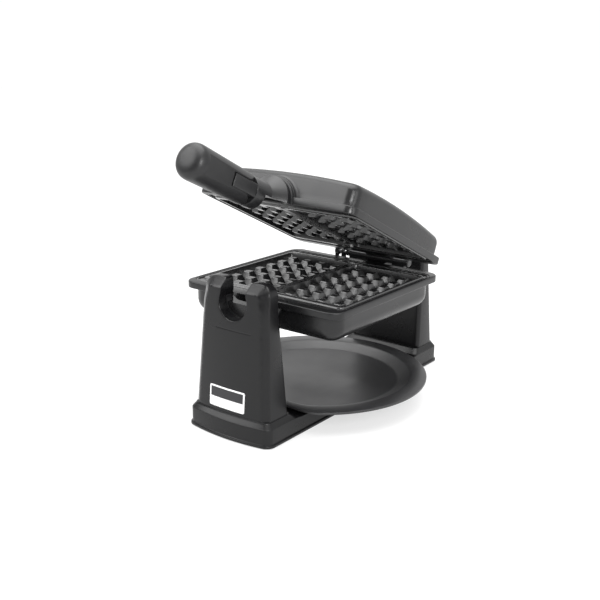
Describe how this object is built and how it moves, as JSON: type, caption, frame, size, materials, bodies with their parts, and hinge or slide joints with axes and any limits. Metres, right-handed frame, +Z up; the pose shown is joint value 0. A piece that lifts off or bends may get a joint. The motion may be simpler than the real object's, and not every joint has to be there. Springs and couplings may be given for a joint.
{
  "type": "rotary waffle maker",
  "caption": "Rotary waffle maker: gridded plates in a flip-over body held between pillars, with a hinged lid, a folding grip and a drip tray.",
  "frame": {"origin": "centre of the footprint box at the height of the table the feet stand on, with the lid open as stored", "axes": "+Z up, +Y from the handle side to the rear pillar, +X to the right seen from the handle side"},
  "size_m": [0.295, 0.4752, 0.3601],
  "materials": {
    "housing": "satin moulded thermoplastic, near black",
    "pillar": "satin moulded thermoplastic, near black",
    "plate": "cast aluminium with a dark glossy non-stick coating",
    "tray": "satin black moulded plastic",
    "grip": "satin black moulded plastic",
    "liner": "low-friction plastic",
    "steel": "plain steel",
    "dark_metal": "black coated steel",
    "reflector": "bright sheet",
    "element": "oxidised steel tube",
    "rubber": "matt",
    "badge": "printed plate, white with a black band, no lettering",
    "block": "moulded insulator"
  },
  "bodies": {
    "base": {"base_housing": "housing", "base_cover": "housing", "base_feet": "rubber", "base_screws": "steel", "front_pillar": "pillar", "front_cradle": "liner", "badge_plate": "badge", "rear_pillar": "pillar", "rear_pillar_cover": "pillar", "rear_bearing": "liner", "cord_inlet": "rubber", "terminal_block": "block"},
    "tray": {"drip_tray": "tray"},
    "lower_half": {"lower_housing": "housing", "lower_plate": "plate", "lower_plate_screws": "steel", "lower_heater": "element", "lower_reflector": "reflector", "lower_thermostat": "steel", "lower_thermal_fuse": "steel", "lower_journal": "housing", "lower_hinge_bracket": "dark_metal", "hinge_pin": "steel", "hinge_cap": "dark_metal", "rear_shaft": "dark_metal", "shaft_clip": "steel"},
    "lid": {"lid_housing": "housing", "lid_plate": "plate", "lid_heater": "element", "lid_reflector": "reflector", "lid_thermal_fuse": "steel", "lid_plate_clips": "steel", "lid_hinge_arms": "dark_metal", "handle_collar": "housing", "collar_pins": "steel"},
    "handle": {"grip_body": "grip", "grip_end_cap": "grip", "fold_pin": "steel"}
  },
  "joints": [
    {"name": "tray_slide", "type": "slide", "parent": "base", "child": "tray", "axis": [1, 0, 0], "range_m": [0, 0.32]},
    {"name": "flip", "type": "hinge", "parent": "base", "child": "lower_half", "pos_m": [0, 0.0011, 0.1675], "axis": [0, 1, 0], "range_deg": [0, 90]},
    {"name": "lid_hinge", "type": "hinge", "parent": "lower_half", "child": "lid", "pos_m": [0, 0.1406, 0.168], "axis": [-1, 0, 0], "range_deg": [-25.4, 69.6]},
    {"name": "grip_fold", "type": "hinge", "parent": "lid", "child": "handle", "pos_m": [0, -0.15393, 0.30729], "axis": [0, -0.4289, -0.9033], "range_deg": [0, 90]}
  ]
}
